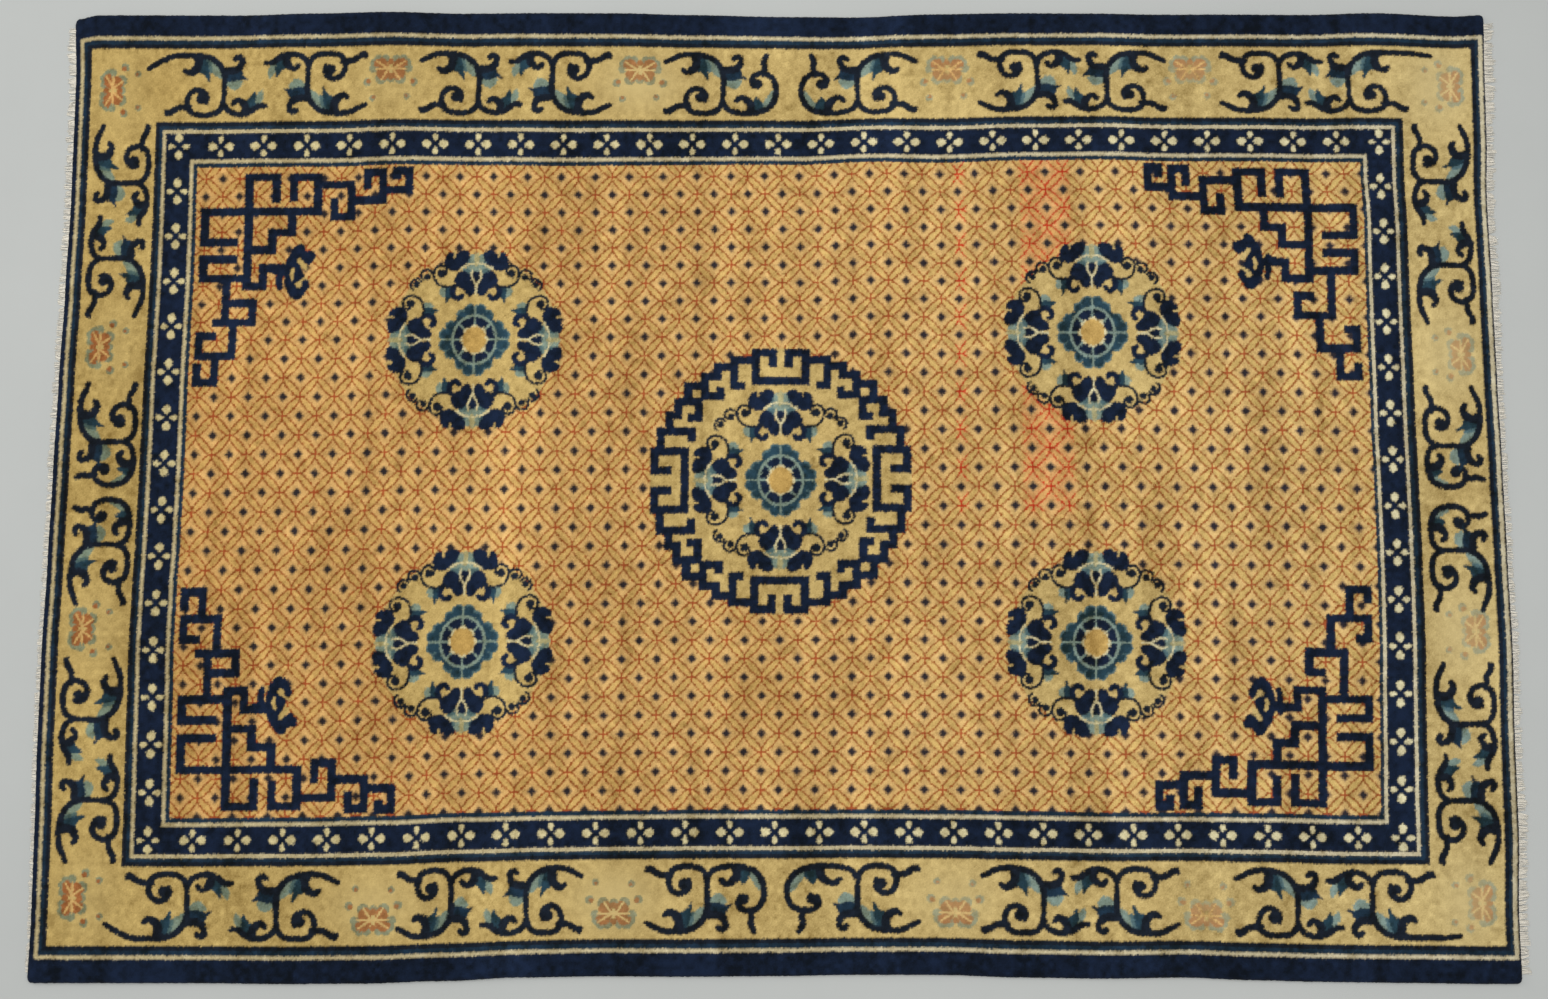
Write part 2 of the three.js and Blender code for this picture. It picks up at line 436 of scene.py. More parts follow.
def work_band_flowers():
    for along in np.linspace(-BAND_MIDDLE_ALONG, BAND_MIDDLE_ALONG, BAND_STEPS_ALONG + 1)[1:-1]:
        for across in (-BAND_MIDDLE_ACROSS, BAND_MIDDLE_ACROSS):
            work(BAND_FLOWER, seat((along, across), (1, 0), (0, 1)))
    for across in np.linspace(-BAND_MIDDLE_ACROSS, BAND_MIDDLE_ACROSS, BAND_STEPS_ACROSS + 1):
        for along in (-BAND_MIDDLE_ALONG, BAND_MIDDLE_ALONG):
            work(BAND_FLOWER, seat((along, across), (0, 1), (1, 0)))


# The fret in each left corner of the field, measured inwards from the corner, the drawn-out one in
# each right corner, and their cloud head, which lies a little further in at the right
FRET_WIDTH = 17
LEFT_FRET = [
    (bars, NAVY, FRET_WIDTH, points) for points in (
        [(102, 20), (102, 234)],
        [(102, 20), (153.5, 20), (153.5, 64)],
        [(187.5, 60), (187.5, 20), (233.5, 20), (233.5, 88)],
        [(17, 88), (233.5, 88)],
        [(17, 88), (17, 147), (75, 147)],
        [(75, 180), (17, 180), (17, 218), (102, 218)],
        [(63.5, 218), (63.5, 304)],
        [(47, 304), (115.5, 304), (115.5, 267), (76, 267)],
        [(40, 330), (16.5, 330), (16.5, 368), (79.5, 368), (79.5, 304)],
        [(48.5, 368), (48.5, 419), (15.5, 419), (15.5, 390)],
        [(184.5, 88), (184.5, 129), (147.5, 129), (147.5, 163), (102, 163)],
        [(102, 234), (131.5, 234), (131.5, 198), (165, 198)],
        [(233.5, 36), (297.5, 36), (297.5, 99), (265.5, 99), (265.5, 70)],
        [(297.5, 68), (358.5, 68), (358.5, 14), (328.5, 14), (328.5, 39)],
        [(358.5, 50), (408.5, 50), (408.5, 12), (385, 12), (385, 22)],
    )
]
RIGHT_FRET = [
    (bars, NAVY, FRET_WIDTH, points) for points in (
        [(106, 20), (106, 228)],
        [(106, 20), (157, 20), (157, 64)],
        [(191, 62), (191, 20), (237, 20), (237, 89)],
        [(21, 89), (237, 89)],
        [(21, 89), (21, 143), (72, 143)],
        [(72, 177), (21, 177), (21, 212), (106, 212)],
        [(66, 212), (66, 299)],
        [(66, 299), (130, 299), (130, 261), (107, 261)],
        [(36, 325), (21, 325), (21, 362), (90, 362), (90, 299)],
        [(54, 362), (54, 416), (20, 416), (20, 398)],
        [(190, 89), (190, 129), (157, 129), (157, 162), (106, 162)],
        [(106, 228), (152, 228), (152, 196), (182, 196)],
        [(237, 37), (304, 37), (304, 97), (272, 97), (272, 70)],
        [(304, 68), (363, 68), (363, 14), (335, 14), (335, 41)],
        [(363, 51), (408, 51), (408, 12), (388, 12), (388, 24)],
    )
]
RIGHT_HEAD_SHIFT = (21, -10)
CLOUD_HEAD = [
    (curve, NAVY, 13, [(165, 237), (163, 222), (165, 207), (163, 195)]),
    (curve, NAVY, 16, [(148, 203), (178, 206)]),
    (patch, NAVY, 0, [(178, 244), (188, 257), (199, 261), (208, 256), (214, 246), (221, 235), (220, 224),
                      (213, 219), (210, 210), (206, 201), (204, 194), (212, 189), (219, 193), (228, 185),
                      (232, 175), (228, 166), (214, 164), (209, 154), (201, 151), (192, 156), (184, 168),
                      (176, 182), (173, 200), (172, 222)]),
    (dots, SAND, 6, [(200, 231)]),
    (curve, SAND, 4.5, [(202, 227), (209, 221), (217, 216)]),
    (curve, SAND, 6.5, [(188, 219), (187, 210), (190, 200)]),
    (curve, SAND, 9, [(200, 183), (205, 190), (213, 199)]),
]


def work_corners():
    for along in (-1, 1):
        for across in (-1, 1):
            origin = (along * FIELD_HALF_LENGTH, across * FIELD_HALF_WIDTH)
            place = seat(origin, (-along, 0), (0, -across))
            work(LEFT_FRET if along < 0 else RIGHT_FRET, place)
            if along > 0:
                place[0] += np.array(RIGHT_HEAD_SHIFT) @ place[1:]
            work(CLOUD_HEAD, place)


# The fret ring of the middle medallion, for one quarter, and the ground that it holds
RING_WIDTH = 16.5
FRET_RING = [
    (bars, NAVY, RING_WIDTH, points) for points in (
        [(0, 191.5), (47.5, 191.5), (47.5, 246), (15, 246), (15, 226)],
        [(47.5, 232), (88.5, 232), (88.5, 183), (75, 183)],
        [(88.5, 219.5), (118.5, 219.5), (118.5, 201), (143.5, 201), (143.5, 162), (114, 162), (114, 171)],
        [(143.5, 183), (175, 183), (175, 152)],
        [(154.5, 152), (193.5, 152), (193.5, 125), (210.5, 125), (210.5, 95)],
        [(154.5, 152), (154.5, 120), (167, 120)],
        [(168, 82), (168, 95), (226, 95), (226, 55.5)],
        [(181, 0), (181, 55.5), (238, 55.5), (238, 19), (214, 19)],
    )
]
RING_GROUND = [
    (bars, SAND, 0, [(0, 0), (reach, height)]) for reach, height in (
        (55, 254), (96, 240), (126, 227), (151, 209), (183, 191), (201, 160), (218, 133), (234, 103),
        (246, 63),
    )
]

# The flower head inside every medallion. One palmette, its left half: along is sideways and
# outward is away from the middle.
PALMETTE = [
    (patch, PALE, 0, [(0, 148), (-14, 146), (-20, 158), (-12, 172), (0, 170)]),
    (patch, SKY, 0, [(-12, 149), (-17, 170), (-22, 172), (-24, 150)]),
    (curve, STRAW, 9, [(0, 150), (0, 173)]),
    (patch, NAVY, 0, [(-65, 164), (-56, 176), (-41, 175), (-28, 181), (-14, 176), (-15, 163), (-23, 150),
                      (-36, 140), (-52, 138), (-65, 148)]),
    (curve, SAND, 4, [(-46, 179), (-45, 167)]),
    (patch, PALE, 0, [(0, 148), (-17, 147), (-30, 141), (-22, 131), (0, 126)]),
    (patch, SKY, 0, [(-14, 142), (-28, 141), (-24, 132), (-12, 130)]),
    (patch, NAVY, 0, [(-34, 138), (-22, 137), (-13, 130), (-9, 120), (-3, 110), (-3, 94), (-10, 87),
                      (-20, 91), (-27, 101), (-39, 106), (-45, 121)]),
    (curve, CREAM, 3.5, [(-34, 142), (-18, 151), (0, 154)]),
    (patch, PALE, 0, [(-60, 106), (-73, 104), (-75, 94), (-69, 86), (-60, 88)]),
    (patch, BLUE, 0, [(-45, 108), (-62, 105), (-63, 88), (-60, 73), (-54, 82), (-45, 90)]),
    (curve, NAVY, 11, [(-43, 109), (-48, 97), (-44, 86), (-34, 83), (-28, 89)]),
    (curve, INK, 5.6, [(-36, 109), (-62, 106), (-79, 112), (-87, 125), (-87, 138), (-80, 147), (-70, 148),
                       (-62, 142), (-62, 133)]),
    (dots, INK, 8.5, [(-72, 133)]),
]

# The bud in a palmette's middle, the small curls of one quarter, and the lobes round the heart
BUD = [
    (patch, NAVY, 0, [(0, 108), (-8, 122), (-9, 136), (0, 138), (9, 136), (8, 122)]),
    (curve, CREAM, 3.5, [(0, 90), (0, 112)]),
    (curve, CREAM, 3.5, [(-8, 141), (-10, 131), (-7, 121), (0, 112), (7, 121), (10, 131), (8, 141)]),
]
QUARTER_CURLS = [
    (dots, INK, 6.8, [(100, 126)]),
    (curve, INK, 5.6, [(89, 131), (94, 138), (103, 140), (112, 135), (113, 126), (108, 121)]),
    (dots, INK, 6.8, [(122, 111)]),
    (curve, INK, 5.6, [(113, 117), (119, 122), (128, 120), (134, 112), (133, 103), (128, 99)]),
]
LOBES = [
    (dots, SKY, 13, [(-10, 59), (10, 59)]),
    (dots, SKY, 12, [(-26, 48)]),
    (dots, BLUE, 10.5, [(-10, 58.5), (10, 58.5)]),
    (dots, BLUE, 9.5, [(-25, 47)]),
]
ROUND_STEPS = 16


def round_points(radius):
    """Points round a middle, for a patch that a seat may draw out to an oval."""
    turns = np.linspace(0, 2 * np.pi, ROUND_STEPS, endpoint=False)
    return np.stack([radius * np.cos(turns), radius * np.sin(turns)], axis=1)


# The heart, its rays and the disc in its middle
HEART = [
    (patch, BLUE, 0, round_points(54)),
    (patch, PALE, 0, round_points(47)),
    (patch, NAVY, 0, round_points(42)),
]
HEART_RAYS = [
    (curve, PALE, 3.5, [(0, 26), (0, 67)]),
    (curve, PALE, 3.5, [(18, 18), (33, 33)]),
]
HEART_DISC = [
    (dots, CREAM, 8.5, [(20, 0), (-20, 0), (0, 20), (0, -20), (14, 14), (14, -14), (-14, 14), (-14, -14)]),
    (patch, AMBER, 0, round_points(24)),
]

# How far the head is drawn out each way, the radius of a medallion's ground, and the places of the
# medallions as the rug lies
HEART_UPRIGHT_SHARE = 1.06
SIDEWAYS_SHARE = 0.93
UPRIGHT_SHARE = 0.97
HEAD_RADIUS = 161
MEDALLION_PLACES = [(-575, 277), (600, 293), (-586, -295), (597, -295)]
MIDDLE_PLACE = (8, 9)


def axis_seats(origin):
    """Seats that face each way from the middle of a medallion."""
    sideways = np.array([SIDEWAYS_SHARE, 0])
    upright = np.array([0, UPRIGHT_SHARE])
    pairs = [(sideways, upright), (sideways, -upright), (upright, sideways), (upright, -sideways)]
    return [seat(origin, along, outward) for along, outward in pairs]


def work_flower_head(origin):
    axes = axis_seats(origin)
    work_pairs(QUARTER_CURLS, axes[:2])
    for motif in (PALMETTE, BUD, LOBES):
        work_pairs(motif, axes)
    heart = seat(origin, (SIDEWAYS_SHARE, 0), (0, HEART_UPRIGHT_SHARE))
    work(HEART, heart)
    work_pairs(HEART_RAYS, axes)
    work(HEART_DISC, heart)


def work_medallions():
    middle = straightened(*MIDDLE_PLACE)
    halves = [seat(middle, (1, 0), (0, across)) for across in (-1, 1)]
    work_pairs(RING_GROUND, halves)
    work_pairs(FRET_RING, halves)
    work_flower_head(middle)
    for along, across in MEDALLION_PLACES:
        origin = straightened(along, across)
        dots(origin[None], HEAD_RADIUS, SAND)
        work_flower_head(origin)


# The scroll of the wide border: its stem stands at 0, and outward is away from the field. Its arm
# has one of three tips.
STROKE = 12.3
ARM = [(-55, 60), (-30, 56), (-13, 46), (-2, 31), (2, 15), (2, -10), (1, -35)]
SHORT_TIP = [(-110, 44), (-97, 50), (-80, 58)]
TIPS = {
    "long": [(-147, 33), (-128, 45), (-105, 56), (-85, 60)],
    "flat": [(-157, 56), (-130, 59), (-105, 60), (-80, 60)],
}
SCROLL = [
    (patch, PALE, 0, [(-37, 55), (-20, 45), (-7, 31), (-1, 13), (-11, 15), (-22, 25), (-30, 41)]),
    (patch, SKY, 0, [(-40, 54), (-28, 50), (-22, 34), (-22, 22), (-29, 28)]),
    (patch, BLUE, 0, [(-50, 56), (-35, 51), (-28, 31), (-27, 5), (-38, 20), (-52, 28)]),
    (patch, INK, 0, [(-63, 60), (-43, 60), (-42, 42), (-51, 36)]),
    (curve, INK, 17, [(-52, 56), (-50, 43), (-54, 31), (-63, 25)]),
    (curve, INK, 12, [(-60, 25), (-68, 23), (-76, 29)]),
    (curve, INK, STROKE, [(1, -32), (-5, -50), (-20, -59), (-45, -60), (-61, -55), (-69, -42), (-69, -28),
                          (-62, -15), (-49, -10), (-37, -15), (-31, -25), (-33, -35)]),
    (dots, INK, 10.5, [(-42, -28)]),
    (patch, INK, 0, [(-60, -40), (-80, -38), (-92, -41), (-103, -48), (-115, -50), (-111, -63), (-99, -62),
                     (-90, -56), (-79, -51), (-62, -53)]),
    (patch, PALE, 0, [(5, 12), (22, 10), (38, 8), (34, -4), (24, -11), (10, -4)]),
    (patch, DEEP, 0, [(2, 32), (20, 32), (35, 29), (40, 19), (49, 9), (35, 10), (19, 6), (4, 10)]),
    (curve, INK, 15, [(1, 30), (16, 29), (29, 33), (35, 42)]),
    (curve, INK, 12.5, [(34, 39), (36, 51), (29, 56), (22, 52)]),
]

# What grows from the stem's inner end to the other side: a short branch or a loop
BRANCH = [
    (patch, PALE, 0, [(52, -56), (66, -46), (79, -28), (76, -12), (66, -22), (60, -38)]),
    (patch, BLUE, 0, [(40, -59), (55, -53), (65, -38), (63, -13), (53, -26), (42, -36)]),
    (curve, INK, 16, [(43, -58), (44, -44), (37, -34)]),
    (curve, INK, 12, [(39, -35), (29, -31), (21, -38)]),
    (curve, INK, STROKE, [(1, -33), (7, -48), (20, -57), (38, -60), (53, -56), (63, -49), (72, -43),
                          (83, -43)]),
]
LOOP = [
    (patch, PALE, 0, [(66, -60), (88, -51), (102, -33), (103, -10), (92, -21), (80, -40)]),
    (patch, BLUE, 0, [(50, -61), (72, -58), (81, -44), (68, -26), (60, -38)]),
    (curve, INK, 17, [(56, -57), (55, -42), (47, -32)]),
    (curve, INK, 12.5, [(49, -33), (37, -28), (27, -35)]),
    (curve, INK, STROKE, [(1, -33), (10, -51), (30, -59), (62, -60), (89, -51), (103, -32), (106, -8),
                          (98, 13), (82, 22), (66, 19), (58, 8), (61, -4)]),
    (dots, INK, 10.5, [(69, 0)]),
    (curve, INK, 13, [(80, 20), (84, 34), (82, 46), (88, 60)]),
]
LOOP_REACH = 110

# The faint flower between the scrolls
FLOWER = [
    (dots, GREY, 11, [(-29, 13), (29, 13), (-19, -18), (19, -18)]),
    (dots, GREY, 8.5, [(-34, 3), (34, 3), (0, -18), (-11, 21), (11, 21), (-24, 22), (24, 22)]),
    (patch, ORANGE, 0, [(-29, 20), (-13, 22), (-3, 5), (-18, 3), (-32, 8)]),
    (patch, ORANGE, 0, [(29, 20), (13, 22), (3, 5), (18, 3), (32, 8)]),
    (patch, ORANGE, 0, [(-27, -2), (-6, 1), (-4, -12), (-13, -22), (-25, -15)]),
    (patch, ORANGE, 0, [(27, -2), (6, 1), (4, -12), (13, -22), (25, -15)]),
    (dots, ORANGE, 6, [(0, 16), (0, -14)]),
    (curve, PEACH, 3.5, [(-29, 1), (-15, 1), (0, 2), (15, 1), (29, 1)]),
    (curve, PEACH, 3.5, [(-28, 17), (0, 2), (28, 17)]),
    (curve, PEACH, 3.5, [(-18, -20), (0, 2), (18, -20)]),
    (dots, GREY, 8, [(-45, -25), (45, -25)]),
    (dots, ORANGE, 5, [(-42, -23), (42, -23)]),
    (dots, GREY, 6.5, [(-34, -57), (32, -54)]),
    (dots, ORANGE, 3.5, [(-33, -55), (31, -52)]),
]

# Middle lines of the wide border, the share of their width that its motifs have there, and how far
# flowers lie outward
SIDE_MIDDLE = 779
LEFT_MIDDLE = 1268
RIGHT_MIDDLE = 1275
SIDE_ACROSS_SHARE = 0.97
END_ACROSS_SHARE = 0.88
FLOWER_RISE = 25

# What stands along the far and near sides, and then along the left and right ends, as the rug lies:
# motif, and for each side its place and measure. The measure is for a loop how far it reaches, for a
# flower how pale the ground round it is, and else the scroll's share in length. A turned scroll is
# turned half round, one that goes back is a mirror image, and the long and the flat ones reach further
# round the corner.
SIDES = [
    ("long", (-1070, 1), (-1085, 1)),
    ("turned", (-905, 1), (-917, 1)),
    ("flower", (-747, 0.3), (-740, 0.7)),
    ("plain", (-578, 1), (-599, 0.87)),
    ("turned", (-433, 1), (-457, 0.9)),
    ("flower", (-265, 0.85), (-298, 0.85)),
    ("loop", (-106, 108), (-128, 110)),
    ("loop back", (157, 115), (152, 137)),
    ("flower", (328, 0.0), (330, 0.55)),
    ("turned back", (500, 1), (490, 1)),
    ("plain back", (637, 1), (628, 1)),
    ("flower", (797, 0.0), (790, 0.05)),
    ("turned back", (967, 1), (956, 1)),
    ("flat back", (1103, 1), (1097, 1)),
]
ENDS = [
    ("flower", (-766, 0.5), (-770, 0.6)),
    ("plain", (-590, 1), (-586, 1)),
    ("turned", (-438, 1), (-443, 1)),
    ("flower", (-272, 0.4), (-273, 0.6)),
    ("loop", (-116, 90), (-123, 88)),
    ("loop back", (82, 87), (78, 83)),
    ("flower", (262, 0.35), (251, 0.6)),
    ("turned back", (432, 1), (422, 1)),
    ("plain back", (583, 1), (588, 1)),
    ("flower", (765, 0.3), (775, 0.7)),
]


def stretched(motif, share):
    """A motif drawn out along the border."""
    scale = (share, 1)
    return [(shape, yarn, size, np.multiply(points, scale)) for shape, yarn, size, points in motif]


def work_border_motif(name, measure, place):
    kind = name.split()[0]
    if name.endswith("back"):
        place = mirrored(place)
    if kind == "flower":
        work(FLOWER, seat(place[0] + FLOWER_RISE * place[2], place[1], place[2]))
        return
    if kind == "turned":
        place = turned(place)
    if kind == "loop":
        share = 1
        work(stretched(LOOP, measure / LOOP_REACH), place)
    else:
        share = measure
        work(BRANCH, place)
    arm = (curve, INK, STROKE, TIPS.get(kind, SHORT_TIP) + ARM)
    work(stretched(SCROLL + [arm], share), place)


def border_seats():
    """Every border motif with its measure and its seat."""
    for name, *spots in SIDES:
        for out, (along, measure) in zip((1, -1), spots):
            origin = (straightened(along, out * SIDE_MIDDLE)[0], out * SIDE_MIDDLE)
            yield name, measure, seat(origin, (1, 0), (0, out * SIDE_ACROSS_SHARE))
    for name, *spots in ENDS:
        for out, middle, (across, measure) in zip((-1, 1), (-LEFT_MIDDLE, RIGHT_MIDDLE), spots):
            origin = (middle, straightened(middle, across)[1])
            yield name, measure, seat(origin, (0, 1), (out * END_ACROSS_SHARE, 0))


def work_border():
    for name, measure, place in border_seats():
        work_border_motif(name, measure, place)


def work_design():
    """Works the whole design into the chart, each part over those before it."""
    work_bands()
    work_lattice()
    work_streaks()
    work_corners()
    work_medallions()
    work_band_flowers()
    work_border()


# How yarns mix: the share of cells that take their yarn from close by, and in the mixed colour the
# share of a cell's own and of each one beside it
LEAN_SHARE = 0.3
OWN_SHARE = 0.6
BESIDE_SHARE = 0.1


def linear(colour):
    """Scene-linear values of a colour to 255."""
    share = np.asarray(colour, float) / 255
    return np.where(share <= 0.04045, share / 12.92, ((share + 0.055) / 1.055) ** 2.4)


def mingled(yarns):
    """The chart with some cells' yarn taken from close by, as tufts lean over one another."""
    leans = scatter.random(yarns.shape) < LEAN_SHARE
    lean = scatter.integers(-1, 2, (2, *yarns.shape)) * leans
    column, row = np.indices(yarns.shape) + lean
    return yarns[column.clip(0, yarns.shape[0] - 1), row.clip(0, yarns.shape[1] - 1)]


def softened(colours):
    """Colours with a little of those beside them mixed in."""
    wide = np.pad(colours, ((1, 1), (1, 1), (0, 0)), mode="edge")
    beside = wide[:-2, 1:-1] + wide[2:, 1:-1] + wide[1:-1, :-2] + wide[1:-1, 2:]
    return OWN_SHARE * colours + BESIDE_SHARE * beside


def tint(colours, share, change):
    """Changes the colours in place by a share of a change in red, green and blue."""
    colours *= 1 + share[:, :, None] * change


# Uneven shade: strength and pitch of the streaks across the rug, their strength together, strength and
# pitches along and across of the mottle, and the grain. Dark yarns show streaks and mottle more.
STREAKS = [(0.4, 120), (0.5, 34), (0.3, 9)]
STREAK_STRENGTH = 0.09
MOTTLE = [(0.11, 150, 150), (0.2, 26, 280), (0.1, 30, 30), (0.28, 8, 8)]
GRAIN = 0.11
DARK_SHADE = 1.7
SHADE_LIMIT = 0.5
SHADE_TINT = np.array([0.9, 1.0, 1.2])
NOISE_SPREAD = 0.5


def bands_of_noise(places, pitch):
    """Noise along one direction, about -1 to 1, that runs evenly from station to station."""
    stations = np.arange(places.min() - 2 * pitch, places.max() + 3 * pitch, pitch)
    return np.interp(places, stations, scatter.normal(0, NOISE_SPREAD, len(stations)))


def clouds(x, y, pitch_along, pitch_across):
    """The same over the whole rug."""
    columns = np.arange(x.min() - pitch_along, x.max() + 2 * pitch_along, pitch_along)
    rows = np.arange(y.min() - pitch_across, y.max() + 2 * pitch_across, pitch_across)
    values = scatter.normal(0, NOISE_SPREAD, (len(columns), len(rows)))
    by_row = np.array([np.interp(y, rows, column) for column in values])
    return np.array([np.interp(x, columns, row) for row in by_row.T]).T


def uneven_shade(dark):
    """How much lighter or darker each cell is than its yarn."""
    streaks = sum(size * bands_of_noise(CELL_X, pitch) for size, pitch in STREAKS)
    mottle = sum(size * clouds(CELL_X, CELL_Y, *pitches) for size, *pitches in MOTTLE)
    grain = scatter.normal(0, GRAIN, chart.shape)
    shade = np.where(dark, DARK_SHADE, 1) * (STREAK_STRENGTH * streaks[:, None] + mottle) + grain
    return np.clip(shade, -SHADE_LIMIT, SHADE_LIMIT)


# The red streaks' change of colour, and the lengths over which their sides and lower ends fade
WASH_TINT = np.array([0.05, -0.13, -0.13])
WASH_EDGE = 14
WASH_END = 56


def wash_strength(x, y):
    """How far the red streaks colour the field, with soft edges."""
    strength = np.zeros((len(x), y.shape[1]))
    for start, end, low, depth in RED_STREAKS:
        inside = np.minimum(x - start, end - x) / WASH_EDGE + 0.5
        above = (y - low) / WASH_END + 0.5
        strength += depth * np.clip(inside, 0, 1) * np.clip(above, 0, 1) * (y < FIELD_HALF_WIDTH)
    return strength


# The pale oval round each border flower, and how far the flower itself fades to it halfway along the
# rug, less at the left and more at the right
HALO_COLOUR = (222, 197, 134)
HALO_LONG = 85
HALO_WIDE = 60
PETAL_FADE = 0.25


def spread(x, y, along, across, half_length, half_width):
    """A soft oval, 1 in its middle."""
    return np.exp(-((x - along) / half_length) ** 2 - ((y - across) / half_width) ** 2)


def fade_flowers(colours, x, y):
    """Fades the border's flowers and the ground round them."""
    ground = np.isin(chart, (GOLD, PEACH))
    petals = np.isin(chart, (ORANGE, GREY))
    halo = linear(HALO_COLOUR)
    for name, paleness, (origin, along, _) in border_seats():
        if name == "flower":
            oval = (HALO_LONG, HALO_WIDE) if along[0] else (HALO_WIDE, HALO_LONG)
            worn = paleness * ground + PETAL_FADE * (1 + origin[0] / HALF_LENGTH) * petals
            share = worn * spread(x, y, *origin, *oval)
            colours += share[:, :, None] * (halo - colours)


# Soft brown stains: place along and across, half length, half width, strength
STAINS = [
    (60, -430, 160, 60, 0.10),
    (-430, -530, 110, 60, 0.08),
    (-300, -560, 60, 40, 0.08),
    (180, -330, 80, 60, 0.06),
    (-90, -380, 90, 50, 0.07),
    (430, 560, 60, 40, 0.05),
    (-820, -120, 70, 60, 0.06),
    (-1195, 775, 60, 50, 0.10),
    (-640, 800, 70, 60, 0.06),
    (-20, -770, 80, 60, 0.07),
    (20, 790, 60, 50, 0.05),
    (-1270, 20, 60, 130, 0.08),
    (1275, 10, 60, 120, 0.15),
    (690, -760, 70, 60, 0.05),
    (330, 790, 110, 60, 0.05),
    (800, 790, 120, 60, 0.06),
    (-1150, 770, 110, 60, 0.05),
]
STAIN_TINT = np.array([-0.9, -1.1, -1.5])


def add_stains(colours, x, y):
    for *oval, strength in STAINS:
        tint(colours, strength * spread(x, y, *oval), STAIN_TINT)


# Painted sheen: how much lighter crests are painted for each mm of height, as light catches them, and how
# many times more on dark yarns. How the field fades to the right, and then all yarns but the dark ones.
CREST_SHEEN = 0.022
DARK_SHEEN = 4
FIELD_FADE = np.array([0, 0.055, 0.03])
LIGHT_FADE = np.array([0.07, 0.11, 0.22])


def cell_colours():
    """Linear colour of every cell: its dye, uneven shade, painted crest sheen, red streaks, fading and
    stains.
    """
    dyes = np.array([linear(DYES[yarn]) for yarn in range(len(DYES))])
    colours = softened(dyes[mingled(chart)])
    x = CELL_X[:, None]
    y = CELL_Y[None, :]
    rightward = x / HALF_LENGTH
    dark = np.isin(chart, (NAVY, INK, DEEP, BLUE))
    field = np.isin(chart, (TAN, PEACH, BROWN, RUST))
    tint(colours, uneven_shade(dark), SHADE_TINT)
    # Painted sheen: ripple crests drawn lighter, more on dark yarns, where light catches the pile
    tint(colours, ripple_height(x, y) * np.where(dark, DARK_SHEEN, 1), CREST_SHEEN)
    tint(colours, field * wash_strength(x, y), WASH_TINT)
    tint(colours, field * rightward, FIELD_FADE)
    fade_flowers(colours, x, y)
    add_stains(colours, x, y)
    tint(colours, ~dark * rightward, LIGHT_FADE)
    return colours


def tuft_corners(colours):
    """The colours by knot and by corner, in the order of a face's points."""
    corners = ((0, 0), (1, 0), (1, 1), (0, 1))
    step = CELLS_PER_KNOT
    return np.stack([colours[column::step, row::step] for column, row in corners], axis=2)


# Looks of the two yarns, with the scale, depth and relief of their fibres
WOOL = {"roughness": 0.95, "sheen": 0.03, "grain_scale": 900, "grain_depth": 0.22, "bump": 0.35}
COTTON = {"roughness": 0.9, "sheen": 0.08, "grain_scale": 1400, "grain_depth": 0.12, "bump": 0.3}


def set_inputs(node, values):
    """Sets some of a node's inputs, and gives the node back."""
    for name, value in values.items():
        node.inputs[name].default_value = value
    return node


def new_material(name, values):
    """A material, its nodes, and its shader with some inputs set."""
    material = bpy.data.materials.new(name)
    material.use_nodes = True
    tree = material.node_tree
    return material, tree, set_inputs(tree.nodes["Principled BSDF"], values)


def add_noise(tree, values):
    """A noise texture that is fixed to its piece."""
    place = tree.nodes.new("ShaderNodeTexCoord")
    noise = set_inputs(tree.nodes.new("ShaderNodeTexNoise"), values)
    tree.links.new(place.outputs["Object"], noise.inputs["Vector"])
    return noise


def yarn_material(name, roughness, sheen, grain_scale, grain_depth, bump):
    """Dyed yarn: the knot's own colour with fine fibres over it."""
    material, tree, shader = new_material(name, {
        "Roughness": roughness,
        "Specular IOR Level": 0.05,
        "Sheen Weight": sheen,
        "Sheen Roughness": 0.6,
    })
    dye = tree.nodes.new("ShaderNodeVertexColor")
    dye.layer_name = "dye"
    fibres = add_noise(tree, {"Scale": grain_scale, "Detail": 3.0, "Roughness": 0.65})
    span = tree.nodes.new("ShaderNodeMapRange")
    set_inputs(span, {"To Min": 1 - grain_depth, "To Max": 1 + grain_depth})
    mixed = tree.nodes.new("ShaderNodeVectorMath")
    mixed.operation = "SCALE"
    relief = set_inputs(tree.nodes.new("ShaderNodeBump"), {"Strength": bump, "Distance": MM})
    for output, target in (
        (fibres.outputs["Fac"], span.inputs["Value"]),
        (dye.outputs["Color"], mixed.inputs[0]),
        (span.outputs["Result"], mixed.inputs["Scale"]),
        (mixed.outputs["Vector"], shader.inputs["Base Color"]),
        (fibres.outputs["Fac"], relief.inputs["Height"]),
        (relief.outputs["Normal"], shader.inputs["Normal"]),
    ):
        tree.links.new(output, target)
    return material


# Pieces

def add_piece(name, points, faces, colours, material):
    """A mesh piece in metres, with a colour for each corner of each face."""
    mesh = bpy.data.meshes.new(name)
    mesh.from_pydata(points * MM, [], faces)
    mesh.shade_smooth()
    dye = mesh.color_attributes.new("dye", "FLOAT_COLOR", "CORNER")
    opaque = np.concatenate([colours, np.ones((len(colours), 1))], axis=1)
    dye.data.foreach_set("color", opaque.astype(np.float32).ravel())
    mesh.materials.append(material)
    piece = bpy.data.objects.new(name, mesh)
    bpy.context.collection.objects.link(piece)
    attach(piece, "root")
    return piece


def grid_faces(columns, rows):
    """Faces of a grid of points, one for each cell, by column and then by row."""
    here = (np.arange(columns - 1)[:, None] * rows + np.arange(rows - 1)[None, :]).ravel()
    return np.stack([here, here + rows, here + rows + 1, here + 1], axis=1)


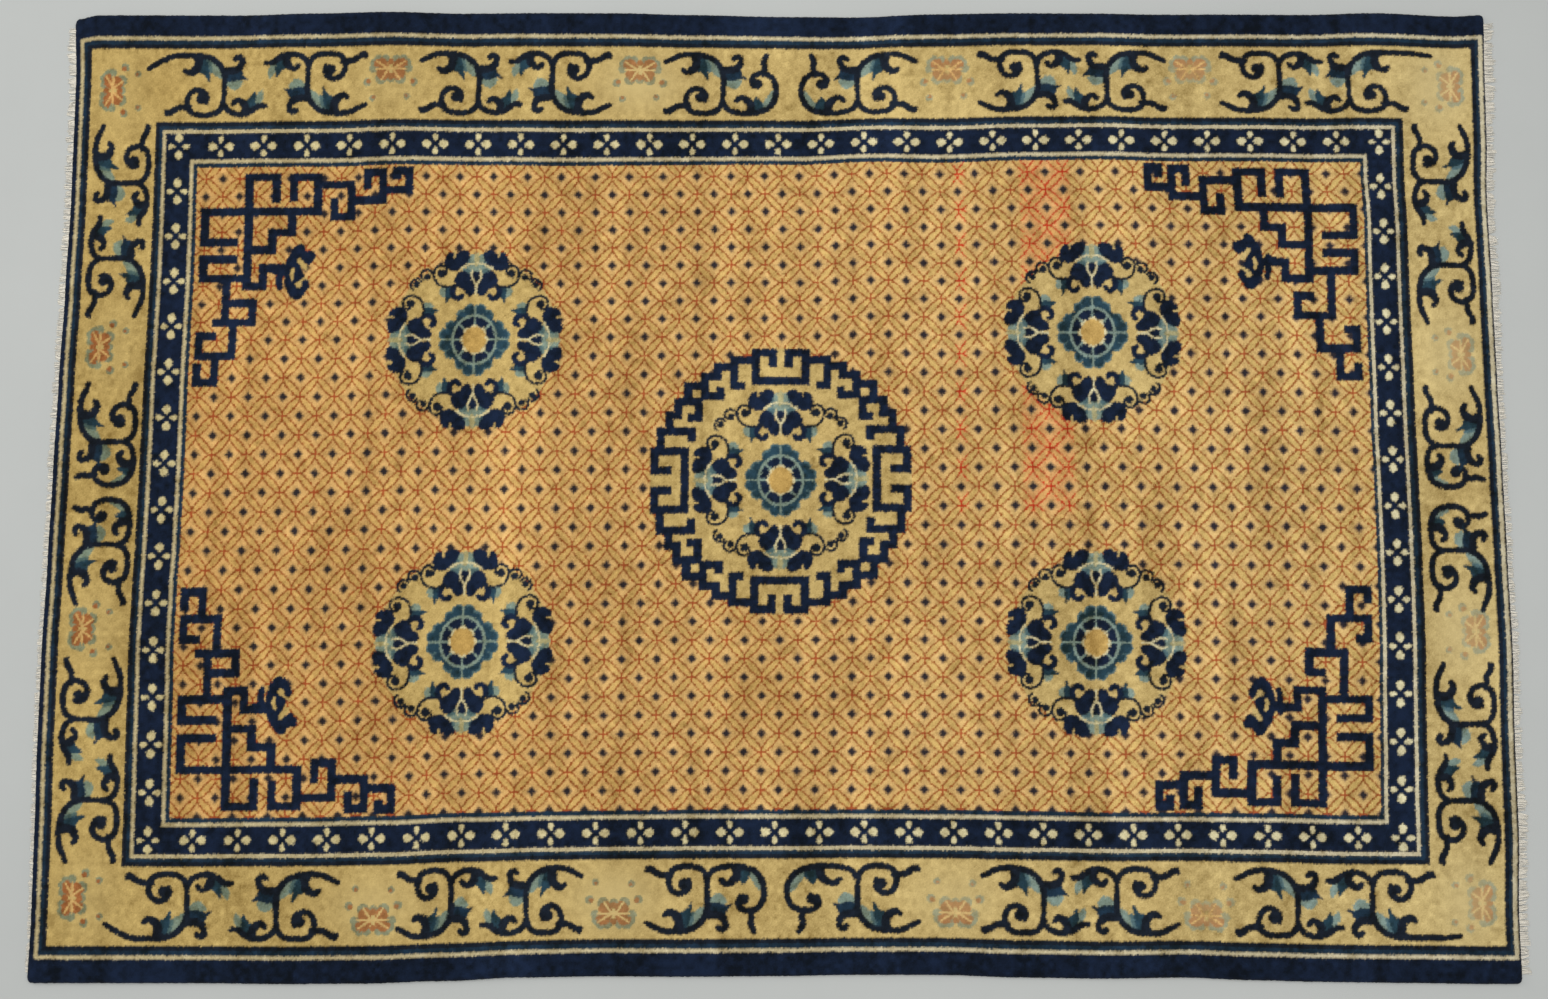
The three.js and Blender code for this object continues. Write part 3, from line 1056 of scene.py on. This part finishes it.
# The pile: its strips, how far the corners of knots stray sideways and in height, and the folds of a
# strip's texture map with the shares left free at their ends and sides
STRIPS = 6
SPREAD_JITTER = 0.25
HEIGHT_JITTER = 0.22
FOLDS = 3
FOLD_END = 0.005
FOLD_SIDE = 0.01


def grid_with_foot(along, across):
    """Places on a grid of lines, with the outer lines twice."""
    along = np.pad(along, 1, mode="edge")[:, None]
    across = np.pad(across, 1, mode="edge")[None, :]
    return np.broadcast_arrays(along, across)


def set_down(x, y, z, shift):
    """Points of such a grid in the frame, with its outer lines down on the floor."""
    z[[0, -1], :] = FOOT_HEIGHT
    z[:, [0, -1]] = FOOT_HEIGHT
    return np.stack([x + shift[0], y + shift[1], z], axis=2)


def pile_points(shift):
    """Corners of all knots as the rug lies."""
    places = grid_with_foot(COLUMN_LINES, ROW_LINES)
    x, y = lay_out(*places)
    z = pile_height(*places)
    x = x + scatter.normal(0, SPREAD_JITTER, x.shape)
    y = y + scatter.normal(0, SPREAD_JITTER, x.shape)
    z = z + scatter.normal(0, HEIGHT_JITTER, x.shape)
    return set_down(x, y, z, shift)


def add_bake_map(mesh, columns, rows):
    """A texture map that folds a long strip into a square."""
    per_fold = columns / FOLDS
    column = np.repeat(np.arange(columns), rows)
    row = np.tile(np.arange(rows), columns)
    fold = np.floor(column / per_fold)
    u = np.stack([column, column + 1, column + 1, column], axis=1) - fold[:, None] * per_fold
    v = np.stack([row, row, row + 1, row + 1], axis=1)
    u = FOLD_END + (1 - 2 * FOLD_END) * np.clip(u / per_fold, 0, 1)
    v = (fold[:, None] + FOLD_SIDE + (1 - 2 * FOLD_SIDE) * v / rows) / FOLDS
    layer = mesh.uv_layers.new(name="OFBake")
    layer.data.foreach_set("uv", np.stack([u, v], axis=2).astype(np.float32).ravel())


def add_pile(shift, material):
    """The knotted pile, in strips that run the length of the rug."""
    points = pile_points(shift)
    colours = np.pad(tuft_corners(cell_colours()), ((1, 1), (1, 1), (0, 0), (0, 0)), mode="edge")
    borders = np.linspace(0, colours.shape[1], STRIPS + 1).round().astype(int)
    strips = []
    for number in range(STRIPS):
        low, high = borders[number], borders[number + 1]
        part = points[:, low:high + 1]
        columns, rows = part.shape[:2]
        dyed = colours[:, low:high].reshape(-1, 3)
        name = f"pile_strip_{number + 1}"
        strip = add_piece(name, part.reshape(-1, 3), grid_faces(columns, rows), dyed, material)
        add_bake_map(strip.data, columns - 1, rows - 1)
        strips.append(strip)
    return strips


# The cotton ground: cells along and across, how far it stays inside the pile's edge, and its colour
GROUND_CELLS = (84, 56)
GROUND_INSET = 2
GROUND_THICKNESS = 1.6
GROUND_DYE = (196, 184, 158)
GROUND_UNEVEN = 0.03


def add_ground(shift, material):
    """The woven cotton ground under the pile: a thin closed sheet."""
    halves = (HALF_LENGTH - GROUND_INSET, HALF_WIDTH - GROUND_INSET)
    lines = [np.linspace(-half, half, count + 1) for half, count in zip(halves, GROUND_CELLS)]
    x, y = lay_out(*grid_with_foot(*lines))
    upper = set_down(x, y, np.full(x.shape, GROUND_THICKNESS), shift).reshape(-1, 3)
    under = upper.copy()
    under[:, 2] = 0.0
    faces = grid_faces(*x.shape)
    both = np.vstack([faces, faces[:, ::-1] + len(upper)])
    shade = np.repeat(1 + scatter.normal(0, GROUND_UNEVEN, len(both)), both.shape[1])
    dyed = linear(GROUND_DYE) * shade[:, None]
    ground = add_piece("ground_cloth", np.vstack([upper, under]), both, dyed, material)
    return ground


# The fringe: fine cut warp ends that gather a little into locks
STRANDS_PER_LOCK = 10
LOCKS_PER_END = 150
LOCK_GATHER = 0.22
LOCK_LEAN = 1.8
LOCK_LENGTHS = (0.8, 1.12)
STRAND_LENGTHS = (0.8, 1.06)
ROOT_JITTER = 0.3
TIP_JITTER = 0.8
FRINGE_DYE = (250, 244, 230)
FRINGE_UNEVEN = 0.06

# A strand: its width and how far it thins, its section for a half width of 1, its start inside the
# pile, how it bends, how high its tip and its start lie, and how high strands lie on one another
STRAND_WIDTH = 1.9
STRAND_TAPER = 0.35
STRAND_RINGS = 5
STRAND_SECTION = np.array([(-1, -0.5), (1, -0.5), (0, 0.7)])
STRAND_ROOT = 5
STRAND_BEND = 1.5
TIP_HEIGHT = 0.9
ROOT_RISE = 2.6
LAYER_HEIGHT = 0.7


def strand_faces(count):
    """Faces of many strands of three sides each."""
    sides = len(STRAND_SECTION)
    ring = np.arange(count)[:, None] * STRAND_RINGS + np.arange(STRAND_RINGS - 1)[None, :]
    first = ring.reshape(-1, 1) * sides
    here = first + np.arange(sides)
    beside = first + np.roll(np.arange(sides), -1)
    return np.stack([here, here + sides, beside + sides, beside], axis=2).reshape(-1, 4)


def strand_lines(sign, length_column):
    """Middle lines of one end's strands, by strand and by ring: places along, across and up."""
    count = STRANDS_PER_LOCK * LOCKS_PER_END
    half = HALF_WIDTH - CORNER_ROUND
    root = np.linspace(-half, half, count) + scatter.normal(0, ROOT_JITTER, count)
    lock = np.arange(count) // STRANDS_PER_LOCK
    lock_middle = -half + (lock + 0.5) * 2 * half / LOCKS_PER_END
    lean = np.repeat(scatter.normal(0, LOCK_LEAN, LOCKS_PER_END), STRANDS_PER_LOCK)
    tip = root + (lock_middle - root) * LOCK_GATHER + lean + scatter.normal(0, TIP_JITTER, count)
    lock_length = np.repeat(scatter.uniform(*LOCK_LENGTHS, LOCKS_PER_END), STRANDS_PER_LOCK)
    length = read_table(END_ROWS, length_column, root) * lock_length
    length = length * scatter.uniform(*STRAND_LENGTHS, count)

    share = np.linspace(0, 1, STRAND_RINGS)
    edge_x, edge_y = lay_out(np.full(count, float(sign * HALF_LENGTH)), root)
    out = -STRAND_ROOT + (length + STRAND_ROOT)[:, None] * share
    x = edge_x[:, None] + sign * out
    y = edge_y[:, None] + (tip - root)[:, None] * share ** STRAND_BEND
    z = TIP_HEIGHT + ROOT_RISE * (1 - share) ** STRAND_BEND + scatter.uniform(0, LAYER_HEIGHT, (count, 1))
    return x, y, z


def add_fringe(name, sign, length_column, shift, material):
    """The strands of one end, lying on the floor. The sign is -1 at the left end."""
    x, y, z = strand_lines(sign, length_column)
    width = STRAND_WIDTH / 2 * (1 - STRAND_TAPER * np.linspace(0, 1, STRAND_RINGS))
    section = width[None, :, None, None] * STRAND_SECTION
    points = np.stack([
        np.broadcast_to(x[:, :, None] + shift[0], (*x.shape, len(STRAND_SECTION))),
        y[:, :, None] + section[..., 0] + shift[1],
        z[:, :, None] + section[..., 1],
    ], axis=3).reshape(-1, 3)
    count = len(x)
    faces = strand_faces(count)
    shade = np.repeat(scatter.normal(1, FRINGE_UNEVEN, count), faces.size // count)
    fringe = add_piece(name, points, faces, linear(FRINGE_DYE) * shade[:, None], material)
    return fringe


def loom_shift():
    """Shift from the loom's own middle to the frame's middle, in mm."""
    places = lay_out(*grid_with_foot(COLUMN_LINES, ROW_LINES))
    low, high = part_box("rug")
    shift = []
    for axis, place in enumerate(places):
        middle = (low[axis] + high[axis]) / 2 / MM
        shift.append(middle - (place.min() + place.max()) / 2)
    return shift


# The floor: its size and depth below the rug in metres, and its colour with a faint mottle
FLOOR_SIZE = 60
FLOOR_DROP = 0.0005
FLOOR_COLOUR = (206, 208, 204)
FLOOR_MOTTLE = 0.05

# Area lights: name, place and size in metres, power. Then the light from all round.
LIGHTS = [
    ("overhead", (0.2, 0.15, 4.2), (5.0, 4.0), 120),
    ("window", (-3.6, 1.6, 2.6), (2.5, 2.0), 28),
]
ROOM_LIGHT = (0.95, 0.97, 1.0, 1)
ROOM_STRENGTH = 0.32

# The camera: its place from the loom's middle in metres, turn in degrees, lens and sensor in mm
CAMERA_PLACE = (0.0049, -0.3392, 3.1191)
CAMERA_TURN = (5.73, 0.167, 0.099)
CAMERA_LENS = 38.6
CAMERA_SENSOR = 36


def add_floor():
    bpy.ops.mesh.primitive_plane_add(size=FLOOR_SIZE, location=(0, 0, -FLOOR_DROP))
    floor = bpy.context.object
    floor.name = "floor"
    material, tree, shader = new_material("painted_floor", {"Roughness": 0.85, "Specular IOR Level": 0.1})
    mottle = add_noise(tree, {"Scale": 2.5, "Detail": 6.0, "Roughness": 0.6})
    mix = tree.nodes.new("ShaderNodeMix")
    mix.data_type = "RGBA"
    pale = linear(FLOOR_COLOUR)
    mix.inputs["A"].default_value = (*(pale * (1 - FLOOR_MOTTLE)), 1)
    mix.inputs["B"].default_value = (*(pale * (1 + FLOOR_MOTTLE)), 1)
    tree.links.new(mottle.outputs["Fac"], mix.inputs["Factor"])
    tree.links.new(mix.outputs["Result"], shader.inputs["Base Color"])
    floor.data.materials.append(material)


def add_light(name, place, size, power):
    """A soft rectangular light that faces the middle of the rug."""
    light = bpy.data.lights.new(name, "AREA")
    light.shape = "RECTANGLE"
    light.size, light.size_y = size
    light.energy = power
    lamp = bpy.data.objects.new(name, light)
    lamp.location = place
    bpy.context.collection.objects.link(lamp)
    lamp.rotation_euler = (-lamp.location).to_track_quat("-Z", "Y").to_euler()


def add_room_light():
    world = bpy.data.worlds.new("studio")
    world.use_nodes = True
    set_inputs(world.node_tree.nodes["Background"], {"Color": ROOM_LIGHT, "Strength": ROOM_STRENGTH})
    bpy.context.scene.world = world
    bpy.context.scene.view_settings.view_transform = "Standard"


def add_camera(shift):
    lens = bpy.data.cameras.new("camera")
    lens.lens = CAMERA_LENS
    lens.sensor_width = CAMERA_SENSOR
    camera = bpy.data.objects.new("camera", lens)
    x, y, z = CAMERA_PLACE
    camera.location = (x + shift[0] * MM, y + shift[1] * MM, z)
    camera.rotation_euler = np.radians(CAMERA_TURN)
    bpy.context.collection.objects.link(camera)
    bpy.context.scene.camera = camera


def build():
    work_design()
    shift = loom_shift()
    wool = yarn_material("dyed_wool", **WOOL)
    cotton = yarn_material("cotton_yarn", **COTTON)
    strips = add_pile(shift, wool)
    ground = add_ground(shift, cotton)
    left = add_fringe("fringe_left_strands", -1, LEFT_FRINGE, shift, cotton)
    right = add_fringe("fringe_right_strands", 1, RIGHT_FRINGE, shift, cotton)
    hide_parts("rug")
    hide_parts("fringe_left")
    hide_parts("fringe_right")
    add_floor()
    for light in LIGHTS:
        add_light(*light)
    add_room_light()
    add_camera(shift)


build()
